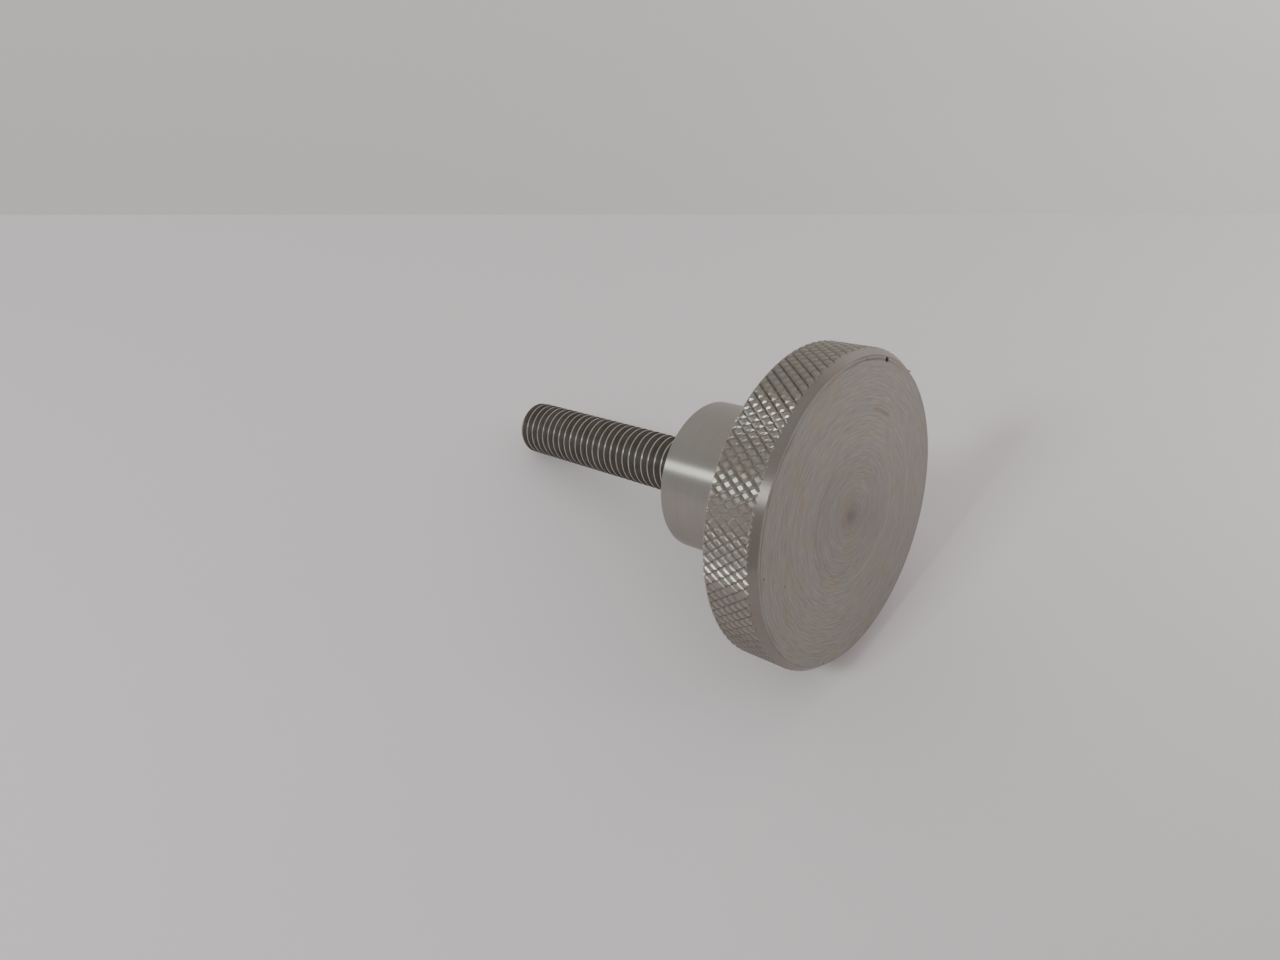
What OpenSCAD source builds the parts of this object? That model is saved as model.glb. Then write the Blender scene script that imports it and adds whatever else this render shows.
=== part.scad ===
// Knurled thumb screw: a flat round head, a plain hub and a threaded stud, turned from one bar.
// It stands on the flat face of its head. The origin is the centre of that face, and +Z runs up the stud.

/* [Head] */
// Diameter of the head over the flat tops of the knurl
head_d = 50; // [36:1:60]
// Thickness of the head
head_h = 8.75; // [5:0.25:10.5]
// Width of the chamfer round the flat face, along the radius
face_chamfer_w = 1; // [0.6:0.1:2]
// Height of the chamfer round the flat face, along the axis
face_chamfer_h = 1.2; // [0.6:0.1:2]
// Broken edge round the back of the head
back_chamfer = 0.25; // [0.1:0.05:0.4]

/* [Knurl] */
// Width of one diamond round the head
knurl_pitch = 1.64; // [1.36:0.02:2.4]
// Length of one diamond along the axis
knurl_length = 2.2; // [1.8:0.05:3]
// Depth of the grooves
knurl_depth = 0.28; // [0.15:0.01:0.5]
// Share of a diamond that the grooves leave as its flat top
knurl_land = 0.34; // [0.1:0.02:0.6]

/* [Hub] */
// Diameter of the hub
hub_d = 25; // [16:0.5:32]
// Length of the hub, from the back of the head to the shoulder
hub_h = 18.75; // [8:0.25:30]
// Broken edge round the shoulder
hub_chamfer = 0.3; // [0.1:0.05:1]

/* [Stud] */
// Major diameter of the thread on the stud
stud_d = 10; // [8:0.5:12]
// Length of the stud beyond the shoulder
stud_l = 44; // [20:1:70]
// Length of the lead chamfer at the tip
tip_chamfer_h = 1.35; // [0.5:0.05:2]
// Diameter of the flat end that the lead chamfer leaves
tip_d = 7.7; // [4:0.1:7.8]

/* [Hidden] */
$fn = 180;
steel = [0.70, 0.69, 0.67];
head_r = head_d / 2;
hub_r = hub_d / 2;
stud_r = stud_d / 2;
shoulder_z = head_h + hub_h;
end_z = shoulder_z + stud_l;
// How far a cut runs past the surface that it trims
over = 0.1;
// Diamonds in one row, and the turn from one to the next
diamonds = round(PI * head_d / knurl_pitch);
diamond_turn = 360 / diamonds;
// Every row sits half a diamond further round and half a diamond higher than the last. Row 2 is the
// first whole one above the face's chamfer, and the last row lies above the head.
row_h = knurl_length / 2;
first_row_z = face_chamfer_h - 1.5 * row_h;
rows = ceil((head_h + over - first_row_z) / row_h) + 1;

// A point of the knurl, where a and b count the grooves of its two crossing families
function knurl_point(a, b, r) =
    let (turn = (a + b) / 2 * diamond_turn)
    [r * cos(turn), r * sin(turn), first_row_z + (a - b) * row_h];

// The centre of diamond m in row k is a = k + m, b = m. Each diamond lists the right, upper, left and
// lower corner of its flat top, and then the crossing of the two grooves to its right.
function diamond_points(k, m) =
    let (a = k + m, b = m, t = knurl_land / 2)
    [
        knurl_point(a + t, b + t, head_r),
        knurl_point(a + t, b - t, head_r),
        knurl_point(a - t, b - t, head_r),
        knurl_point(a - t, b + t, head_r),
        knurl_point(a + 0.5, b + 0.5, head_r - knurl_depth)
    ];

// The index of point i of diamond m in row k. The list starts with row -1.
function index(k, m, i) = 5 * ((k + 1) * diamonds + (m + diamonds) % diamonds) + i;

// The crossing of the grooves to the right of diamond m in row k
function crossing(k, m) = index(k, m, 4);

// The flat top of a diamond, and the four groove walls that slope down from its edges
function diamond_faces(k, m) =
    let (
        top = [for (i = [0:3]) index(k, m, i)],
        low = [crossing(k, m), crossing(k + 1, m - 1), crossing(k, m - 1), crossing(k - 1, m)]
    )
    [
        [top[3], top[2], top[1], top[0]],
        for (i = [0:3]) let (j = (i + 1) % 4) [top[i], top[j], low[j], low[i]]
    ];

// A disc knurled all over its rim, longer than the head at both ends, where it closes to a point
module knurled_disc() {
    points = [
        for (k = [-1:rows], m = [0:diamonds - 1]) each diamond_points(k, m),
        [0, 0, first_row_z - row_h],
        [0, 0, first_row_z + rows * row_h]
    ];
    low_end = len(points) - 2;
    high_end = len(points) - 1;
    faces = [
        for (k = [0:rows - 1], m = [0:diamonds - 1]) each diamond_faces(k, m),
        for (m = [0:diamonds - 1]) each [
            [low_end, crossing(-1, m), crossing(0, m)],
            [low_end, crossing(0, m - 1), crossing(-1, m)],
            [high_end, crossing(rows - 1, m), crossing(rows, m - 1)],
            [high_end, crossing(rows, m - 1), crossing(rows - 1, m - 1)]
        ]
    ];
    polyhedron(points, faces);
}

// What the lathe leaves of the head: two flat faces and the chamfers that run out through the knurl
module head_trim() {
    slope = face_chamfer_h / face_chamfer_w;
    rotate_extrude()
        polygon([
            [0, 0],
            [head_r - face_chamfer_w, 0],
            [head_r + over, face_chamfer_h + over * slope],
            [head_r + over, head_h - back_chamfer - over],
            [head_r - back_chamfer, head_h],
            [0, head_h]
        ]);
}

// Hub and stud as one turned outline, rooted in the middle of the head
module hub_and_stud() {
    rotate_extrude()
        polygon([
            [0, head_h / 2],
            [hub_r, head_h / 2],
            [hub_r, shoulder_z - hub_chamfer],
            [hub_r - hub_chamfer, shoulder_z],
            [stud_r, shoulder_z],
            [stud_r, end_z - tip_chamfer_h],
            [tip_d / 2, end_z],
            [0, end_z]
        ]);
}

module thumb_screw() {
    color(steel)
        union() {
            intersection() {
                knurled_disc();
                head_trim();
            }
            hub_and_stud();
        }
}

thumb_screw();
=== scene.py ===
# %% [markdown]
# # A knurled thumb screw
# The part is one piece of stainless steel, turned from a single bar: a flat round head with a
# diamond knurl for the fingers, a plain hub, and a threaded stud. It stands on the flat face of its
# head, so that face lies at z = 0 and the stud points up.
#
# The screw is made here as three meshes, because the lathe makes it in three ways: the head is
# knurled, the hub is turned, and the stud is threaded. They meet at crisp inner corners, where the
# real screw has such corners too.

# %% Load the frame
import math

import bpy
from mathutils import Matrix, Vector


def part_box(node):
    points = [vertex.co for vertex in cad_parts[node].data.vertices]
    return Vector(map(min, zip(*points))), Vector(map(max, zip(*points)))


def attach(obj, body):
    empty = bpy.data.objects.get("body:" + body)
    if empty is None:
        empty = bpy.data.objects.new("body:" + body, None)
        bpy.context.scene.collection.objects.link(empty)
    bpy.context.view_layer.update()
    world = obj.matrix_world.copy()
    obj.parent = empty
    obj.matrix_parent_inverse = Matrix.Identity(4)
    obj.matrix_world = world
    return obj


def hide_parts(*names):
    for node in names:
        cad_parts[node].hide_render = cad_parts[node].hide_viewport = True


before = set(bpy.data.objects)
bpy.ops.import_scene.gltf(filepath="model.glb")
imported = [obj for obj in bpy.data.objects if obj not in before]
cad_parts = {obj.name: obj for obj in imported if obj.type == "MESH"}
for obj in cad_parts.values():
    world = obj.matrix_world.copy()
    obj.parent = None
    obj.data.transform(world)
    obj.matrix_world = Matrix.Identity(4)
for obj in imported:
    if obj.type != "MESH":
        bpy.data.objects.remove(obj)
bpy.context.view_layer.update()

# %% [markdown]
# ## Sizes
# Lengths are in metres, so a size in millimetres is written times `MM`. The large sizes come from
# the frame's own box. The others are those of a turned screw with a standard M10 x 1.5 thread.

# %% Sizes of the screw
MM = 0.001
MERGE = 0.002 * MM  # points closer than this are one point
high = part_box("thumb_screw")[1]
HEAD_R = high.x
END_Z = high.z
HEAD_H = 8.75 * MM
SHOULDER_Z = 27.5 * MM
HUB_R = 12.5 * MM
FACE_CHAMFER = (1.0 * MM, 1.2 * MM)  # along the radius, along the axis
BACK_CHAMFER = 0.3 * MM
BURR_TURN = 16  # degrees round the axis
print("Head", round(2 * HEAD_R / MM, 1), "mm across, screw", round(END_Z / MM, 1), "mm long")

# %% Sizes of the knurl
DIAMONDS = 96
DIAMOND_W = math.tau * HEAD_R / DIAMONDS
DIAMOND_H = 2.2 * MM
KNURL_DEPTH = 0.266 * MM
SHALLOWER = 0.105 * MM  # how much less deep the second wheel's grooves are between the crossings
NARROWER = 0.065 * MM  # how much closer their walls stand on each side
FIRST_ROW_Z = 0.58 * MM
ROW_PAIRS = 5
KNURL_TURN = math.radians(-93.3)
print("One diamond is", round(DIAMOND_W / MM, 3), "x", round(DIAMOND_H / MM, 3), "mm")

# %% Sizes of the thread
PITCH = 1.5 * MM
CREST_R = 4.88 * MM
ROOT_R = 4.06 * MM
GROOVE_Z = 0.88 * MM  # height of a groove's middle on the +X side, give or take whole pitches
TIP_CHAMFER = 1.35 * MM
TIP_R = 3.85 * MM
print("Thread depth", round((CREST_R - ROOT_R) / MM, 2), "mm at a pitch of", PITCH / MM, "mm")

# %% [markdown]
# ## Camera
# The screw is seen lying down, tipped over onto the rim of its head and the end of its thread, on a
# sheet of paper. The frame keeps it standing, so the camera and the paper are tipped instead: the
# paper is the plane that touches the rim and the thread at one angle round the axis.


# %% Where the paper touches the screw
def round_axis(degrees, radius=1.0, z=0.0):
    """The point at that angle round the screw's axis."""
    turn = math.radians(degrees)
    return Vector((radius * math.cos(turn), radius * math.sin(turn), z))


LOWEST = 136  # the side of the screw that rests on the paper, in degrees round its axis
rim_point = round_axis(LOWEST, HEAD_R, HEAD_H - BACK_CHAMFER)
tip_point = round_axis(LOWEST, CREST_R, END_Z - TIP_CHAMFER)
sideways = round_axis(LOWEST + 90)
paper_up = (tip_point - rim_point).cross(sideways).normalized()
if paper_up.dot(-rim_point) < 0:
    paper_up.negate()
print("The paper's upward direction is", tuple(round(n, 3) for n in paper_up))


# %% The camera
def facing(direction, up):
    """A rotation whose -Z looks along direction, with its Y as near to up as it can be."""
    back = -Vector(direction).normalized()
    right = Vector(up).cross(back).normalized()
    return Matrix((right, back.cross(right), back)).transposed()


EYE = Vector((0, -126.86, -64.33)) * MM
LOOKS_AT = Vector((-3.87, -11.84, 31.87)) * MM
LENS = 25.98  # mm
bpy.ops.object.camera_add(location=EYE)
camera = bpy.context.object
camera.rotation_euler = facing(LOOKS_AT - EYE, paper_up).to_euler()
camera.data.lens = LENS
camera.data.sensor_width = 36
camera.data.clip_start = 0.01
bpy.context.scene.camera = camera
print("The camera is", round((EYE - rim_point).dot(paper_up) / MM), "mm above the paper")

# %% [markdown]
# ## Shader maths
# A material is a net of nodes, and long sums in it are hard to read. `Wire` wraps one socket, and
# Python's own operators then add the Math nodes: `1 - mask * 2` is three nodes. Any other node is
# made by `node`, which takes its settings and what goes into its sockets.


# %% A socket that can be calculated with
class Wire:
    """One output of a node tree, which Python's operators can calculate with."""

    def __init__(self, tree, socket=None):
        self.tree = tree
        self.socket = socket

    def node(self, kind, inputs=(), output=0, **settings):
        """Adds a node, with its settings first and then its inputs. Returns a Wire on one output."""
        made = self.tree.nodes.new(kind)
        for name, value in settings.items():
            setattr(made, name, value)
        for key, value in dict(inputs).items():
            if isinstance(value, Wire):
                self.tree.links.new(value.socket, made.inputs[key])
            else:
                made.inputs[key].default_value = value
        return Wire(self.tree, made.outputs[output])

    def maths(self, operation, *values):
        return self.node("ShaderNodeMath", enumerate(values), operation=operation)

    def __add__(self, other):
        return self.maths("ADD", self, other)

    def __radd__(self, other):
        return self.maths("ADD", other, self)

    def __sub__(self, other):
        return self.maths("SUBTRACT", self, other)

    def __rsub__(self, other):
        return self.maths("SUBTRACT", other, self)

    def __mul__(self, other):
        return self.maths("MULTIPLY", self, other)

    def __rmul__(self, other):
        return self.maths("MULTIPLY", other, self)

    def __truediv__(self, other):
        return self.maths("DIVIDE", self, other)

    def __pow__(self, other):
        return self.maths("POWER", self, other)

    def __abs__(self):
        return self.maths("ABSOLUTE", self)

    def __gt__(self, other):
        return self.maths("GREATER_THAN", self, other)


# %% A new material and its first wires
def new_material(name):
    """A material with an empty net, a Wire into it, and its output node."""
    material = bpy.data.materials.new(name)
    material.use_nodes = True
    tree = material.node_tree
    tree.nodes.clear()
    output = tree.nodes.new("ShaderNodeOutputMaterial")
    return material, Wire(tree), output.inputs["Surface"]


def join(wire, socket):
    wire.tree.links.new(wire.socket, socket)


# %% [markdown]
# ## Stage
# The stage is pale and plain. Two floors take turns. The sheet of paper is the one under the lying
# screw, and a wall stands behind it. The standing floor, just under z = 0, shows only to camera
# rays, and only from above. Every sheet shows one face only.
#
# Above the standing floor, paper and wall are clear to matt surfaces and to camera rays that haven't
# crossed that floor, so a view from above doesn't show them. The number of clear surfaces that a ray
# has passed tells the two cases apart, and the floor is two sheets so that it adds two to that
# number. Metal reflects paper and wall everywhere, and it never reflects the floor.

# %% The paper and the standing floor
PAPER_COLOUR = (0.855, 0.785, 0.805)
FLOOR_COLOUR = (0.76, 0.745, 0.74)
WALL_COLOUR = (0.89, 0.84, 0.825)


def one_sided(name, colour, shown):
    """A matt material that is clear from behind and wherever `shown` says no."""
    material, wire, surface = new_material(name)
    matt = wire.node("ShaderNodeBsdfDiffuse", {"Color": (*colour, 1)})
    clear = wire.node("ShaderNodeBsdfTransparent")
    behind = wire.node("ShaderNodeNewGeometry", output="Backfacing")
    solid = (1 - behind) * shown(wire)
    join(wire.node("ShaderNodeMixShader", {0: solid, 1: clear, 2: matt}), surface)
    return material


def paper_shown(wire):
    """No above the standing floor, for its own light and for camera rays that haven't crossed it."""
    camera_ray = wire.node("ShaderNodeLightPath", output="Is Camera Ray")
    matt_ray = wire.node("ShaderNodeLightPath", output="Is Diffuse Ray")
    crossed = wire.node("ShaderNodeLightPath", output="Transparent Depth") > 1.5
    place = wire.node("ShaderNodeNewGeometry", output="Position")
    above = wire.node("ShaderNodeSeparateXYZ", {0: place}, output="Z") > 0
    return 1 - above * (matt_ray + camera_ray * (1 - crossed))


def floor_shown(wire):
    return wire.node("ShaderNodeLightPath", output="Is Camera Ray")


def sheet(name, centre, direction, size, material, up):
    """A flat stage piece that faces along direction."""
    bpy.ops.mesh.primitive_plane_add(size=1, location=centre)
    made = bpy.context.object
    made.name = name
    made.rotation_euler = facing(-direction, up).to_euler()
    made.scale = (*size, 1)
    made.data.materials.append(material)
    return made


paper_material = one_sided("paper", PAPER_COLOUR, paper_shown)
level = (LOOKS_AT - EYE) - (LOOKS_AT - EYE).dot(paper_up) * paper_up
level.normalize()
foot = EYE - (EYE - rim_point).dot(paper_up) * paper_up
PAPER_BEYOND = 223 * MM  # from the point below the camera to the paper's far edge
PAPER_SIZE = (1.6, 0.8)
paper_centre = foot + level * (PAPER_BEYOND - PAPER_SIZE[1] / 2)
paper = sheet("paper", paper_centre, paper_up, PAPER_SIZE, paper_material, level)
wall_centre = foot + level * (PAPER_BEYOND + 60 * MM) + paper_up * 0.3
wall_material = one_sided("wall", WALL_COLOUR, paper_shown)
wall = sheet("wall", wall_centre, -level, (2.0, 1.0), wall_material, paper_up)
floor_material = one_sided("floor", FLOOR_COLOUR, floor_shown)
FLOOR_GAP = 0.02 * MM  # keeps the floor and the face that stands on it from sharing one plane
for name, depth in (("floor", FLOOR_GAP), ("floor_below", MM)):
    floor_centre = Vector((0, 0, -depth))
    sheet(name, floor_centre, Vector((0, 0, 1)), (8, 8), floor_material, Vector((0, 1, 0)))
print("The paper ends", round(PAPER_BEYOND / MM), "mm beyond the camera's foot")

# %% [markdown]
# ## Light
# Metal shows what is round it, so a dull steel part needs an even, pale room and one soft lamp that
# runs a streak along the hub. The room is the world's own colour, a little brighter towards +X and
# +Z. The window lamp stands where the streak and the glints in the knurl need it, and a wide soft
# lamp fills in from above. The paper lamp shines on paper and wall alone, but part of its light
# comes back from the paper and brightens the face of the head.


# %% The room
ROOM = 0.543
ROOM_SLOPE = (0.1075, 0, 0.145)  # how much brighter the room is towards +X, +Y and +Z
ROOM_SEEN = 0.66

world = bpy.data.worlds.new("room")
bpy.context.scene.world = world
world.use_nodes = True
world.node_tree.nodes.clear()
wire = Wire(world.node_tree)
way = wire.node("ShaderNodeTexCoord", output="Generated")
brighter = wire.node(
    "ShaderNodeVectorMath", {0: way, 1: ROOM_SLOPE}, output="Value", operation="DOT_PRODUCT"
)
glow = wire.node("ShaderNodeBackground", {"Color": (1, 0.985, 0.97, 1), "Strength": ROOM + brighter})
backdrop = wire.node("ShaderNodeBackground", {"Color": (1, 0.985, 0.975, 1), "Strength": ROOM_SEEN})
seen = wire.node("ShaderNodeLightPath", output="Is Camera Ray")
world_output = world.node_tree.nodes.new("ShaderNodeOutputWorld")
join(wire.node("ShaderNodeMixShader", {0: seen, 1: glow, 2: backdrop}), world_output.inputs["Surface"])


# %% The lamps
MIDDLE = Vector((0, 0, END_Z / 3))


def soft_lamp(name, direction, distance, size, power, colour=(1, 1, 1), aim=MIDDLE):
    """A square lamp that stands that far out from the screw's middle along direction, and faces aim."""
    bpy.ops.object.light_add(type="AREA", location=MIDDLE + Vector(direction).normalized() * distance)
    lamp = bpy.context.object
    lamp.name = name
    lamp.rotation_euler = facing(aim - lamp.location, (0, 0, 1)).to_euler()
    lamp.data.size = size
    lamp.data.energy = power
    lamp.data.color = colour
    return lamp


window_lamp = soft_lamp("window_lamp", (-0.04, -1, 0.0), 0.6, 0.105, 1.3, (0.9, 1, 0.97))
top_lamp = soft_lamp("top_lamp", (0.5, -0.6, 0.62), 0.7, 0.8, 0.15)
PAPER_AIM = Vector((0.46, 0.425, 0.196))
paper_lamp = soft_lamp("paper_lamp", (0.373, 0.3, -0.878), 0.307, 0.3, 0.4, aim=PAPER_AIM)
paper_only = bpy.data.collections.new("paper_only")
for lit in (paper, wall):
    paper_only.objects.link(lit)
paper_lamp.light_linking.receiver_collection = paper_only
print("Lamps:", window_lamp.name, top_lamp.name, paper_lamp.name)

# %% [markdown]
# ## Modelling helpers
# In edit mode an operator acts on whatever is selected. These helpers select faces, edges or points
# by where they are, as one would click on them, and end a piece with its place in its mesh.


# %% Selecting by place
def edit(piece, mode="VERT"):
    """Opens a piece in edit mode with nothing selected."""
    bpy.ops.object.select_all(action="DESELECT")
    piece.select_set(True)
    bpy.context.view_layer.objects.active = piece
    bpy.ops.object.mode_set(mode="EDIT")
    bpy.ops.mesh.select_mode(type=mode)
    bpy.ops.mesh.select_all(action="DESELECT")


def select_points(piece, test):
    """Selects the points that pass the test, and the edges and faces between them. Returns how many."""
    bpy.ops.mesh.select_mode(type="VERT")
    bpy.ops.mesh.select_all(action="DESELECT")
    bpy.ops.object.mode_set(mode="OBJECT")
    picked = 0
    for point in piece.data.vertices:
        point.select = bool(test(point.co))
        picked += point.select
    bpy.ops.object.mode_set(mode="EDIT")
    return picked


def select_faces(piece, test):
    """Selects the faces whose middle and normal pass the test. Returns how many."""
    bpy.ops.mesh.select_mode(type="FACE")
    bpy.ops.mesh.select_all(action="DESELECT")
    bpy.ops.object.mode_set(mode="OBJECT")
    picked = 0
    for face in piece.data.polygons:
        face.select = bool(test(face.center, face.normal))
        picked += face.select
    bpy.ops.object.mode_set(mode="EDIT")
    return picked


def cut(through, keep_side, **settings):
    """Cuts the open piece along a plane, and keeps the side that keep_side points to."""
    bpy.ops.mesh.select_all(action="SELECT")
    normal = Vector(keep_side).normalized()
    bpy.ops.mesh.bisect(plane_co=through, plane_no=normal, clear_inner=True, threshold=1e-7, **settings)


# %% Modifiers and finishing
def apply(piece, kind, **settings):
    """Adds a modifier, sets it and applies it."""
    bpy.ops.object.select_all(action="DESELECT")
    piece.select_set(True)
    bpy.context.view_layer.objects.active = piece
    modifier = piece.modifiers.new(kind.lower(), kind)
    for name, value in settings.items():
        setattr(modifier, name, value)
    bpy.ops.object.modifier_apply(modifier=modifier.name)


def repeat(piece, count, offset, **settings):
    """Repeats a piece in a row, with each copy moved by offset from the last."""
    apply(
        piece,
        "ARRAY",
        count=count,
        use_relative_offset=False,
        use_constant_offset=True,
        constant_offset_displace=offset,
        **settings,
    )


def chain(name, points):
    """A new object that is a chain of edges through the points."""
    mesh = bpy.data.meshes.new(name)
    mesh.from_pydata(points, [(i, i + 1) for i in range(len(points) - 1)], [])
    made = bpy.data.objects.new(name, mesh)
    bpy.context.scene.collection.objects.link(made)
    return made


def finish_mesh(piece, name, smooth_under):
    """Merges doubles, turns faces outwards, smooths edges under so many degrees, applies the place."""
    edit(piece)
    bpy.ops.mesh.select_all(action="SELECT")
    bpy.ops.mesh.remove_doubles(threshold=0.001 * MM)
    bpy.ops.mesh.normals_make_consistent(inside=False)
    bpy.ops.object.mode_set(mode="OBJECT")
    bpy.ops.object.transform_apply(location=True, rotation=True, scale=True)
    bpy.ops.object.shade_smooth_by_angle(angle=math.radians(smooth_under))
    apply(piece, "WEIGHTED_NORMAL", keep_sharp=True)
    piece.name = name
    piece.data.name = name
    triangles = sum(len(face.vertices) - 2 for face in piece.data.polygons)
    print(name, "has", triangles, "triangles")
    return piece


def counted_open_edges(piece):
    """How many edges don't lie between exactly two faces. A closed mesh has none."""
    uses = {}
    for face in piece.data.polygons:
        for key in face.edge_keys:
            uses[key] = uses.get(key, 0) + 1
    return sum(1 for count in uses.values() if count != 2)


# %% [markdown]
# ## The knurled head
# On the lathe two wheels press crossing grooves into the rim and leave rows of small diamonds, whose
# tops are what is left of the turned rim. Only one diamond is modelled. It starts as a circle of
# eight points. Four of them are its corners, and the four between are pulled in onto its edges. It
# is stretched to the diamond's width and height, and insets raise it from the groove's bottom to
# its flat top. The second wheel pressed less deep, so between the crossings its grooves are then
# made shallower and narrower. Arrays repeat the diamond along a straight strip, and a bend rolls
# the strip into a ring.
#
# The strip is flat, so the chamfers that later become cones are planes there, and `bisect` cuts them.

# %% One diamond
GROOVE_BOTTOM = (0.03 * MM, 0.006 * MM)  # run and rise of each ring from the groove to the top
LOWER_WALL = (0.18 * MM, 0.167 * MM)
UPPER_WALL = (0.10 * MM, 0.073 * MM)
BROKEN_EDGE = (0.045 * MM, 0.020 * MM)

bpy.ops.object.select_all(action="DESELECT")
bpy.ops.mesh.primitive_circle_add(
    vertices=8, radius=0.5, fill_type="NGON", location=(0, KNURL_DEPTH, 0), rotation=(math.pi / 2, 0, 0)
)
head = bpy.context.object
bpy.ops.object.transform_apply(location=False, rotation=True, scale=False)
edit(head)
print("Points pulled in:", select_points(head, lambda co: min(abs(co.x), abs(co.z)) > 0.1))
bpy.ops.transform.resize(value=(math.sqrt(0.5), 1, math.sqrt(0.5)))
bpy.ops.mesh.select_all(action="SELECT")
bpy.ops.transform.resize(value=(DIAMOND_W, 1, DIAMOND_H))
for run, rise in (GROOVE_BOTTOM, LOWER_WALL, UPPER_WALL, BROKEN_EDGE):
    bpy.ops.mesh.inset(thickness=run, depth=rise, use_even_offset=True)
bpy.ops.object.mode_set(mode="OBJECT")
bpy.ops.object.transform_apply(location=True, rotation=False, scale=False)
heights = [point.co.y for point in head.data.vertices]
print("The diamond rises", round((max(heights) - min(heights)) / MM, 3), "mm")

# %% The second wheel's grooves
GROOVE_FLOOR_Y = KNURL_DEPTH - 1.5 * GROOVE_BOTTOM[1]


def on_second_groove(co):
    return co.x * co.z > 0.01 * DIAMOND_W * DIAMOND_H


def on_second_wall(co, side):
    """On the wall of such a groove on one side of the diamond, above the raised bottom."""
    return on_second_groove(co) and side * co.x > 0 and co.y < GROOVE_FLOOR_Y - SHALLOWER


edit(head)
print("Points raised:", select_points(head, lambda co: on_second_groove(co) and co.y > GROOVE_FLOOR_Y))
bpy.ops.transform.translate(value=(0, -SHALLOWER, 0))
for side in (1, -1):
    outwards = side * NARROWER * Vector((DIAMOND_H, 0, DIAMOND_W)).normalized()
    select_points(head, lambda co: on_second_wall(co, side))
    bpy.ops.transform.translate(value=outwards)
bpy.ops.object.mode_set(mode="OBJECT")

# %% One column of diamonds
repeat(head, 2, (DIAMOND_W / 2, 0, DIAMOND_H / 2))
repeat(head, ROW_PAIRS, (0, 0, DIAMOND_H))
for point in head.data.vertices:
    point.co.z += FIRST_ROW_Z
edit(head)
bpy.ops.mesh.select_all(action="SELECT")
bpy.ops.mesh.remove_doubles(threshold=MERGE)

# %% The chamfers, cut as planes
SHARE = FACE_CHAMFER[1] / FACE_CHAMFER[0]
cut((0, 0, FACE_CHAMFER[1]), (0, SHARE, 1))
cut((0, 0, HEAD_H - BACK_CHAMFER), (0, 1, -1))
NEAR = 0.0005 * MM


def on_face_chamfer(co):
    return abs(co.z - FACE_CHAMFER[1] + SHARE * co.y) < NEAR


def on_back_chamfer(co):
    return abs(co.z - co.y - HEAD_H + BACK_CHAMFER) < NEAR


print("Points on the face chamfer:", select_points(head, on_face_chamfer))
bpy.ops.mesh.extrude_edges_move()
bpy.ops.transform.resize(value=(1, 0, 0), center_override=(0, FACE_CHAMFER[0], 0))
print("Points on the back chamfer:", select_points(head, on_back_chamfer))
bpy.ops.mesh.extrude_edges_move()
bpy.ops.transform.resize(value=(1, 0, 0), center_override=(0, BACK_CHAMFER, HEAD_H))
bpy.ops.object.mode_set(mode="OBJECT")

# %% Round the rim
repeat(head, DIAMONDS, (DIAMOND_W, 0, 0), use_merge_vertices=True, merge_threshold=MERGE)
strip = [point.co.x for point in head.data.vertices]
strip_length = max(strip) - min(strip)
apply(head, "SIMPLE_DEFORM", deform_method="BEND", deform_axis="Z", angle=strip_length / HEAD_R)
head.location = (0, -HEAD_R, 0)
bpy.ops.object.transform_apply(location=True, rotation=False, scale=False)
edit(head)
bpy.ops.mesh.select_all(action="SELECT")
bpy.ops.mesh.remove_doubles(threshold=0.003 * MM)
print("The strip was", round(strip_length / MM, 2), "mm long; open edges left:", end=" ")
bpy.ops.object.mode_set(mode="OBJECT")
print(counted_open_edges(head))

# %% [markdown]
# The ring now ends in two open circles. Extruding a circle and scaling it towards the axis lays down
# the flat faces ring by ring. The face gets what the facing tool left: a fine line near the edge and
# a small dimple in the middle.


# %% The two flat faces
def ring_inwards(radius_now, radius, z):
    """Extrudes the selected circle to another radius and height."""
    share = radius / radius_now
    bpy.ops.mesh.extrude_edges_move()
    bpy.ops.transform.resize(value=(share, share, 0), center_override=(0, 0, z))


FACE_RINGS = (
    (23.94, 0),
    (23.46, 0),
    (23.42, 0.02),
    (23.36, 0.02),
    (23.32, 0),
    (16, 0),
    (8, 0),
    (0.55, 0),
    (0.35, 0.03),
    (0.05, 0.06),
)
BACK_RINGS = ((24.6, 8.75), (18, 8.75), (12.8, 8.75), (12.4, 8.75), (6, 8.75), (0.5, 8.75))


def close_with_rings(start_radius, start_z, rings):
    """Closes one end of the ring with flat rings, and merges the last one."""

    def on_open_circle(co):
        return abs(co.z - start_z) < NEAR and abs(math.hypot(co.x, co.y) - start_radius) < MERGE

    edit(head)
    select_points(head, on_open_circle)
    radius_now = start_radius
    for radius, z in rings:
        ring_inwards(radius_now, radius * MM, z * MM)
        radius_now = radius * MM
    bpy.ops.mesh.merge(type="CENTER")
    bpy.ops.object.mode_set(mode="OBJECT")


close_with_rings(HEAD_R - FACE_CHAMFER[0], 0, FACE_RINGS)
close_with_rings(HEAD_R - BACK_CHAMFER, HEAD_H, BACK_RINGS)
for point in head.data.vertices:
    point.co.rotate(Matrix.Rotation(KNURL_TURN + math.pi / 2, 3, "Z"))
print("Open edges:", counted_open_edges(head))

# %% [markdown]
# Use has left two marks that have a shape of their own: a deep pit near the edge of the face, and a
# burr where the rim was knocked. Each is a crooked ball. One is cut out of the head, and the other
# is fused to it.

# %% The pit and the burr
PIT = Vector((23.31, -2.86, -0.04)) * MM
PIT_SIZE = Vector((0.38, 0.55, 0.36)) * MM
BURR = round_axis(BURR_TURN, 24.82 * MM, 0.95 * MM)
BURR_SIZE = Vector((0.2, 0.2, 0.3)) * MM


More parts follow.
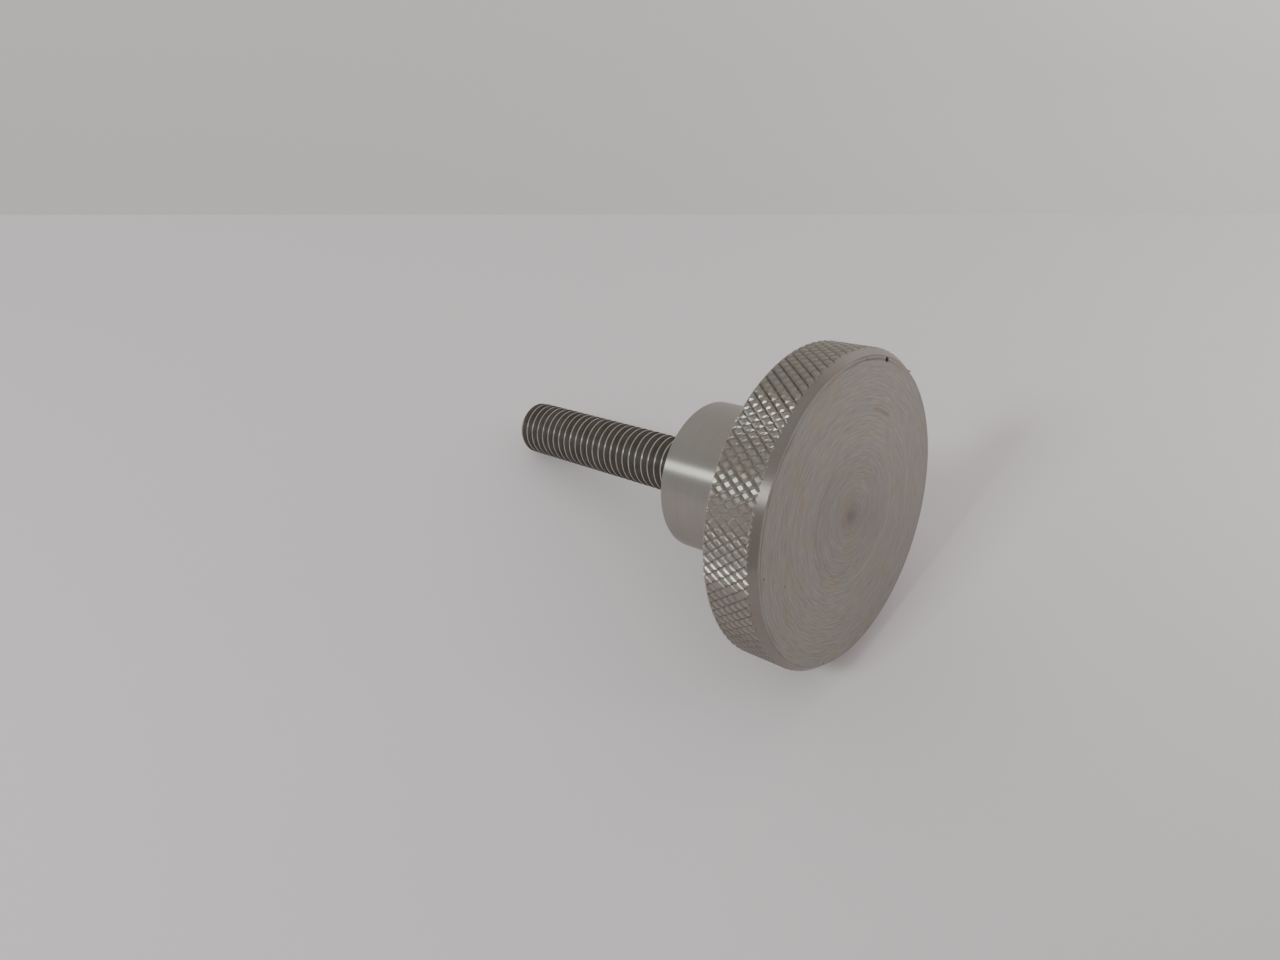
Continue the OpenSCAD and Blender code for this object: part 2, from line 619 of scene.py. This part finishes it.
def crooked_ball(centre, size, crooked, seed):
    """A ball of the three half-widths, with its points moved a little at random."""
    bpy.ops.object.select_all(action="DESELECT")
    bpy.ops.mesh.primitive_ico_sphere_add(subdivisions=2, radius=1, location=centre)
    ball = bpy.context.object
    ball.scale = size
    bpy.ops.object.transform_apply(location=True, rotation=False, scale=True)
    edit(ball)
    bpy.ops.mesh.select_all(action="SELECT")
    bpy.ops.transform.vertex_random(offset=crooked, seed=seed)
    bpy.ops.object.mode_set(mode="OBJECT")
    return ball


def combine(piece, ball, operation):
    """Cuts the ball from the piece or fuses it on, and removes the ball."""
    apply(piece, "BOOLEAN", operation=operation, object=ball, solver="EXACT")
    bpy.data.objects.remove(ball)


combine(head, crooked_ball(PIT, PIT_SIZE, 0.07 * MM, 3), "DIFFERENCE")
combine(head, crooked_ball(BURR, BURR_SIZE, 0.05 * MM, 8), "UNION")
finish_mesh(head, "knurled_head", 12)
print("Open edges:", counted_open_edges(head))

# %% [markdown]
# ## The hub
# The hub is a plain cylinder with a broken edge at its shoulder. A cylinder primitive is enough to
# start from, and a bevel gives the edge. It runs a little way into the head.

# %% The hub
HUB_ROOT = HEAD_H - 0.5 * MM
HUB_SIDES = 192
EDGE_BREAK = 0.3 * MM
SHOULDER_WIDTH = 7.2 * MM  # the ring that is set off from the middle, under the thread
bpy.ops.object.select_all(action="DESELECT")
bpy.ops.mesh.primitive_cylinder_add(
    vertices=HUB_SIDES,
    radius=HUB_R,
    depth=SHOULDER_Z - HUB_ROOT,
    location=(0, 0, (SHOULDER_Z + HUB_ROOT) / 2),
)
hub = bpy.context.object
bpy.ops.object.transform_apply(location=True, rotation=False, scale=False)
edit(hub)
select_points(hub, lambda co: co.z > SHOULDER_Z - NEAR)
bpy.ops.mesh.bevel(offset=EDGE_BREAK, segments=3, profile=0.35, affect="EDGES")
select_faces(hub, lambda middle, normal: normal.z > 0.99)
bpy.ops.mesh.inset(thickness=SHOULDER_WIDTH)
bpy.ops.object.mode_set(mode="OBJECT")
finish_mesh(hub, "hub", 28)
print("Open edges:", counted_open_edges(hub))

# %% [markdown]
# ## The threaded stud
# A thread is one groove that climbs round the stud. The outline of a single pitch is drawn on one
# side, from one crest to the next, and a Screw modifier turns it round the axis and lifts it by one
# pitch for each turn. A turned blank then trims it: it has the lead chamfer at the tip. A second
# blank fills the last groove at the shoulder, where the real die runs out.

# %% One pitch of the thread
FLANK = math.tan(math.radians(30))
ROOT_FLAT = 0.11 * MM
CREST_EDGE = (0.08 * MM, 0.07 * MM)  # along the axis, along the radius


def thread_outline():
    """Half a pitch of the outline: height above the groove's middle and radius, from root to crest."""
    flank_start = ROOT_FLAT + 0.07 * MM
    flank_end = flank_start + (CREST_R - CREST_EDGE[1] - ROOT_R - 0.05 * MM) * FLANK
    return [
        (0, ROOT_R),
        (ROOT_FLAT, ROOT_R + 0.01 * MM),
        (flank_start, ROOT_R + 0.05 * MM),
        (flank_end, CREST_R - CREST_EDGE[1]),
        (flank_end + 0.3 * CREST_EDGE[0], CREST_R - 0.3 * CREST_EDGE[1]),
        (flank_end + CREST_EDGE[0], CREST_R),
        (PITCH / 2, CREST_R),
    ]


half = thread_outline()
outline = [(-z, r) for z, r in reversed(half[1:])] + half
for z, r in half:
    print("z", round(z / MM, 3), "r", round(r / MM, 3))

# %% The thread's helix
TURNS = 32
STEPS = 96
FIRST_PITCH = 16
start_z = GROOVE_Z + FIRST_PITCH * PITCH
stud = chain("thread", [(r, 0, start_z + z) for z, r in outline])
apply(
    stud,
    "SCREW",
    angle=math.tau,
    screw_offset=PITCH,
    iterations=TURNS,
    steps=STEPS,
    render_steps=STEPS,
    use_merge_vertices=True,
    merge_threshold=MERGE,
)
edit(stud)
STUD_ROOT = SHOULDER_Z - 0.6 * MM
bpy.ops.mesh.select_all(action="SELECT")
bpy.ops.mesh.remove_doubles(threshold=MERGE)
cut((0, 0, STUD_ROOT), (0, 0, 1), use_fill=True)
cut((0, 0, END_Z + 0.3 * MM), (0, 0, -1), use_fill=True)
bpy.ops.mesh.select_all(action="SELECT")
bpy.ops.mesh.normals_make_consistent(inside=False)
bpy.ops.object.mode_set(mode="OBJECT")
print("Thread faces:", len(stud.data.polygons), "open edges:", counted_open_edges(stud))


# %% The blanks that trim the thread
BLANK_SIDES = 150
STUD_R = 5 * MM  # where the lead chamfer would start on a stud of full width


def turned(name, outline):
    """A solid turned from an outline of (radius, height) points, by spin."""
    blank = chain(name, [(r, 0, z) for r, z in outline])
    edit(blank)
    bpy.ops.mesh.select_all(action="SELECT")
    bpy.ops.mesh.spin(steps=BLANK_SIDES, angle=math.tau, center=(0, 0, 0), axis=(0, 0, 1))
    bpy.ops.mesh.select_all(action="SELECT")
    bpy.ops.mesh.remove_doubles(threshold=MERGE)
    bpy.ops.mesh.normals_make_consistent(inside=False)
    bpy.ops.object.mode_set(mode="OBJECT")
    return blank


WIDE = CREST_R + 0.3 * MM
TIP_SLOPE = (STUD_R - TIP_R) / TIP_CHAMFER
trim = turned(
    "trim",
    [
        (0, STUD_ROOT - MM),
        (WIDE, STUD_ROOT - MM),
        (WIDE, END_Z - (WIDE - TIP_R) / TIP_SLOPE),
        (TIP_R, END_Z),
        (0, END_Z),
    ],
)
runout = turned(
    "runout",
    [
        (0, STUD_ROOT + 0.1 * MM),
        (CREST_R - 0.02 * MM, STUD_ROOT + 0.1 * MM),
        (CREST_R - 0.02 * MM, SHOULDER_Z + 0.7 * MM),
        (ROOT_R - 0.05 * MM, SHOULDER_Z + 3.2 * MM),
        (0, SHOULDER_Z + 3.2 * MM),
    ],
)
apply(stud, "BOOLEAN", operation="INTERSECT", object=trim, solver="EXACT")
apply(stud, "BOOLEAN", operation="UNION", object=runout, solver="EXACT")
for blank in (trim, runout):
    bpy.data.objects.remove(blank)
finish_mesh(stud, "threaded_stud", 28)
print("Open edges:", counted_open_edges(stud))

# %% [markdown]
# ## The steel
# All three meshes are the same stainless steel. Besides the tool marks, they differ in dirt and in
# painted shade. The marks run round the axis, so every pattern is stretched round it: a noise that
# changes fast along the radius or the axis and slowly round the screw.

# %% Colours of the steel
FACE_STEEL = (0.434, 0.416, 0.389)
FACE_STEEL_WARM = (0.44, 0.41, 0.35)
RIM_STEEL = (0.448, 0.42, 0.387)
KNURL_STEEL = (0.366, 0.343, 0.314)
KNURL_STEEL_WARM = (0.37, 0.336, 0.295)
CHAMFER_STEEL = (0.37, 0.34, 0.305)
HUB_STEEL = (0.446, 0.43, 0.398)
HUB_STEEL_WARM = (0.45, 0.424, 0.387)
THREAD_STAIN = (0.427, 0.38, 0.33)
# Dark brown for the dirt and the painted shade in the thread's grooves.
THREAD_DIRT_AND_SHADE = (0.105, 0.089, 0.074)
# Dark brown for real dirt, also used for painted shade on the rim and the chamfer.
DIRT_AND_PAINTED_SHADE = (0.15, 0.128, 0.108)
PIT_BLACK = (0.05, 0.038, 0.035)
STAIN_BROWN = (0.13, 0.115, 0.085)
WALL_STEEL = (0.25, 0.24, 0.215)  # the walls of the grooves in the knurl
FRONT_R = 24.02 * MM  # the face's steel ends here, on the start of the chamfer


def colour(rgb):
    return (*rgb, 1)


# %% Patterns that follow the lathe
class Lathe:
    """Coordinates round the screw's axis, in millimetres, for one material."""

    def __init__(self, wire):
        self.wire = wire
        place = wire.node("ShaderNodeTexCoord", output="Object")
        self.x, self.y, self.z = (
            wire.node("ShaderNodeSeparateXYZ", {0: place}, output=axis) * (1 / MM) for axis in "XYZ"
        )
        self.radius = self.distance(0, 0)

    def distance(self, x, y):
        """Distance from another axis, which stands at x, y."""
        return ((self.x - x) * (self.x - x) + (self.y - y) * (self.y - y)) ** 0.5

    def noise(self, across, round_about, fine=1, seed=0.0, detail=2.0):
        """Noise that changes every `fine` mm of `across`, and every `round_about` mm round the axis."""
        vector = self.wire.node(
            "ShaderNodeCombineXYZ",
            {
                0: across * (1 / fine) + seed,
                1: self.x * (1 / round_about),
                2: self.y * (1 / round_about),
            },
        )
        return self.wire.node("ShaderNodeTexNoise", {"Vector": vector, "Scale": 1.0, "Detail": detail})

    def blotches(self, size, seed=0.0):
        """Even noise in all directions."""
        vector = self.wire.node("ShaderNodeCombineXYZ", {0: self.x + seed, 1: self.y, 2: self.z})
        settings = {"Vector": vector, "Scale": 1 / size, "Detail": 3.0}
        return self.wire.node("ShaderNodeTexNoise", settings)

    def spot(self, x, y, size):
        """1 inside a soft round spot, 0 outside."""
        return 1 - between(self.distance(x, y), 0.4 * size, size)

    def ring(self, radius, width):
        """1 on a soft ring of that radius, 0 off it."""
        return 1 - between(abs(self.radius - radius), 0.3 * width, width)

    def sector(self, degrees, spread):
        """1 towards that angle round the axis, and 0 beyond the spread."""
        turn = math.radians(degrees)
        towards = (self.x * math.cos(turn) + self.y * math.sin(turn)) / self.radius
        return between(towards, math.cos(math.radians(spread)), math.cos(math.radians(0.5 * spread)))


def between(value, low_end, high_end):
    """A smooth step from 0 at low_end to 1 at high_end."""
    return value.node(
        "ShaderNodeMapRange",
        {0: value, 1: low_end, 2: high_end, 3: 0.0, 4: 1.0},
        interpolation_type="SMOOTHSTEP",
    )


def mixed(share, first, second):
    """Colour first where share is 0, second where it is 1."""
    ends = [end if isinstance(end, Wire) else colour(end) for end in (first, second)]
    return share.node("ShaderNodeMix", {0: share, 6: ends[0], 7: ends[1]}, output=2, data_type="RGBA")


def shaded(base, shade):
    """A colour times a number."""
    return base.node("ShaderNodeVectorMath", {0: base, "Scale": shade}, operation="SCALE")


def steel(wire, surface, base, roughness, height, bump_mm, anisotropy, metal=1.0):
    """The steel shader. height is a Wire in which 1 stands for bump_mm of rise."""
    bump = wire.node("ShaderNodeBump", {"Height": height, "Distance": bump_mm * MM})
    shader = wire.node(
        "ShaderNodeBsdfPrincipled",
        {
            "Base Color": base,
            "Roughness": roughness,
            "Metallic": metal,
            "Normal": bump,
            "Anisotropic": anisotropy,
            "Anisotropic Rotation": 0.25,
        },
    )
    join(shader, surface)


# %% [markdown]
# The face is dull. Rings from the facing tool cover it, and faint rings round a second centre cross
# them where it was rubbed down. The middle is stained, and a few specks and a smear lie on it.

# %% The face's steel
STAIN = (-0.26, -0.5)
SPECKS = ((21.8, -8.7, 0.3), (-11.6, -19.3, 0.26), (-12.2, -13.4, 0.24), (-23.3, 4.3, 0.3))
SECOND_CENTRE = (2.5, 3.0)


def make_face_steel():
    material, wire, surface = new_material("face_steel")
    lathe = Lathe(wire)
    fine_marks = lathe.noise(lathe.radius, 2.6, fine=0.15, detail=3)
    long_marks = lathe.noise(lathe.radius, 14, fine=0.2, seed=13)
    wide_marks = lathe.noise(lathe.radius, 26, fine=0.8, seed=7)
    crossing = lathe.noise(lathe.distance(*SECOND_CENTRE), 12, fine=0.3, seed=2)
    rubbed = between(lathe.blotches(7, seed=11), 0.45, 0.65)
    patches = lathe.blotches(4.5)
    base = mixed(between(patches, 0.38, 0.62), FACE_STEEL, FACE_STEEL_WARM)
    tone = 0.35 + 0.6 * fine_marks + 0.16 * long_marks + 0.05 * wide_marks
    tone = tone + 0.25 * rubbed * (crossing - 0.5)
    tone = tone * (0.93 + 0.07 * between(lathe.radius, 9.5, 11.5))
    tone = tone * (1 + 0.10 * lathe.ring(11.4, 0.35) * lathe.sector(100, 70))
    tone = tone * (1 - 0.12 * lathe.ring(9.9, 0.25) * lathe.sector(-95, 50))
    tone = tone * (1 + 0.08 * lathe.ring(16.8, 0.4) * lathe.sector(40, 40))
    base = shaded(base, tone)
    stain = 0.12 * lathe.spot(*STAIN, 5) + 0.18 * lathe.spot(*STAIN, 2.6)
    base = mixed(stain + 0.25 * lathe.spot(*STAIN, 1.1), base, STAIN_BROWN)
    # Two thin lines are darkened: on the fine line near the edge and at the face's edge, on some sides,
    # unevenly.
    line_strength = 0.25 + 0.35 * between(lathe.noise(lathe.radius, 6, fine=3, seed=9), 0.4, 0.6)
    base = mixed(lathe.ring(23.39, 0.22) * lathe.sector(-70, 100) * line_strength, base, DIRT_AND_PAINTED_SHADE)
    base = mixed(lathe.ring(23.95, 0.24) * lathe.sector(-90, 120) * line_strength, base, DIRT_AND_PAINTED_SHADE)
    for x, y, size in SPECKS:
        base = mixed(lathe.spot(x, y, size) * 0.8, base, DIRT_AND_PAINTED_SHADE)
    smear = lathe.ring(16.1, 0.5) * lathe.sector(0, 12)
    base = mixed(smear * 0.35, base, DIRT_AND_PAINTED_SHADE)
    pit = lathe.spot(PIT.x / MM, PIT.y / MM, 0.6) * between(lathe.z, 0.01, 0.06)
    base = mixed(pit, base, PIT_BLACK)
    roughness = 0.40 + 0.08 * wide_marks
    steel(wire, surface, base, roughness, fine_marks * 0.7 + long_marks * 0.3, 0.005, 0.3)
    return material


# %% [markdown]
# The rim shines where the face doesn't. The tops of the diamonds are what the turning tool left, and
# the wheels pressed the grooves between them smooth, with dirt at their bottoms. On some sides the
# knurl and the chamfer are darkened as painted shade.

# %% The rim's steel
def make_rim_steel():
    material, wire, surface = new_material("rim_steel")
    lathe = Lathe(wire)
    wide_marks = lathe.noise(lathe.z, 20, fine=0.5, seed=7)
    fine_marks = lathe.noise(lathe.radius + lathe.z, 14, fine=0.15, detail=3)
    patches = lathe.blotches(3.5, seed=6)
    knurled = between(lathe.z, 1.1, 1.5) * (1 - between(lathe.z, 8.5, 8.65))
    chamfer = 1 - between(lathe.z, 1.1, 1.3)
    base = mixed(between(patches, 0.4, 0.6), KNURL_STEEL, KNURL_STEEL_WARM)
    base = mixed(knurled, RIM_STEEL, base)
    base = mixed(chamfer, base, CHAMFER_STEEL)
    base = shaded(base, 0.86 + 0.14 * fine_marks + 0.12 * wide_marks)
    below_top = 1 - between(lathe.radius, 24.93, 24.99)
    bottom = 1 - between(lathe.radius, 24.76, 24.825)
    base = mixed(knurled * below_top * 0.2, base, WALL_STEEL)
    base = mixed(knurled * bottom * (0.05 + 0.5 * patches), base, DIRT_AND_PAINTED_SHADE)
    # Painted shade, not dirt: the knurl is darkened round -172 degrees and, less, round -15 degrees.
    painted_shade = 0.5 * lathe.sector(-172, 34) + 0.17 * lathe.sector(-15, 50)
    base = mixed(knurled * painted_shade, base, DIRT_AND_PAINTED_SHADE)
    # Painted shade: the chamfer is darkened round -155 degrees.
    base = mixed(chamfer * lathe.sector(-155, 55) * 0.3, base, DIRT_AND_PAINTED_SHADE)
    roughness = 0.29 + 0.08 * wide_marks + 0.05 * chamfer + 0.1 * bottom * knurled
    steel(wire, surface, base, roughness, fine_marks, 0.004, 1.0)
    return material


head.data.materials.append(make_rim_steel())
head.data.materials.append(make_face_steel())
edit(head, "FACE")
in_front = select_faces(head, lambda middle, normal: middle.z < MM and middle.xy.length < FRONT_R)
head.active_material_index = 1
bpy.ops.object.material_slot_assign()
bpy.ops.object.mode_set(mode="OBJECT")
print("Faces on the front:", in_front)


# %% The hub's steel
def make_hub_steel():
    """Fine turning marks, which draw the lamp out into a streak along the hub."""
    material, wire, surface = new_material("hub_steel")
    lathe = Lathe(wire)
    fine_marks = lathe.noise(lathe.z, 14, fine=0.18, detail=3)
    wide_marks = lathe.noise(lathe.z, 30, fine=1.5, seed=5)
    base = mixed(between(wide_marks, 0.35, 0.65), HUB_STEEL, HUB_STEEL_WARM)
    base = shaded(base, 0.72 + 0.18 * fine_marks + 0.06 * wide_marks)
    roughness = 0.29 + 0.06 * wide_marks
    steel(wire, surface, base, roughness, fine_marks, 0.001, 1.0)
    return material


hub.data.materials.append(make_hub_steel())


# %% The thread's steel
def make_thread_steel():
    """Bright narrow crests; flanks darkened to the groove's bottom by dirt and painted shade."""
    material, wire, surface = new_material("thread_steel")
    lathe = Lathe(wire)
    marks = lathe.noise(lathe.z, 9, fine=0.12, detail=2)
    stain = lathe.blotches(2.2, seed=4)
    deep = 1 - between(lathe.radius, 4.845, 4.882)
    base = mixed(between(stain, 0.4, 0.65), HUB_STEEL, THREAD_STAIN)
    # Painted shade with some dirt: below the crest, the flanks and the groove are darkened.
    base = mixed(deep * (0.75 + 0.3 * stain), base, THREAD_DIRT_AND_SHADE)
    roughness = 0.22 + 0.45 * deep
    steel(wire, surface, base, roughness, marks, 0.003, 0.9, metal=1 - 0.8 * deep)
    return material


stud.data.materials.append(make_thread_steel())

# %% [markdown]
# ## Handing over
# Every mesh rides on the screw's one body and stands for the one solid in the frame.

# %% Ride, replace and finish
for piece in (head, hub, stud):
    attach(piece, "root")
    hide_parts("thumb_screw")
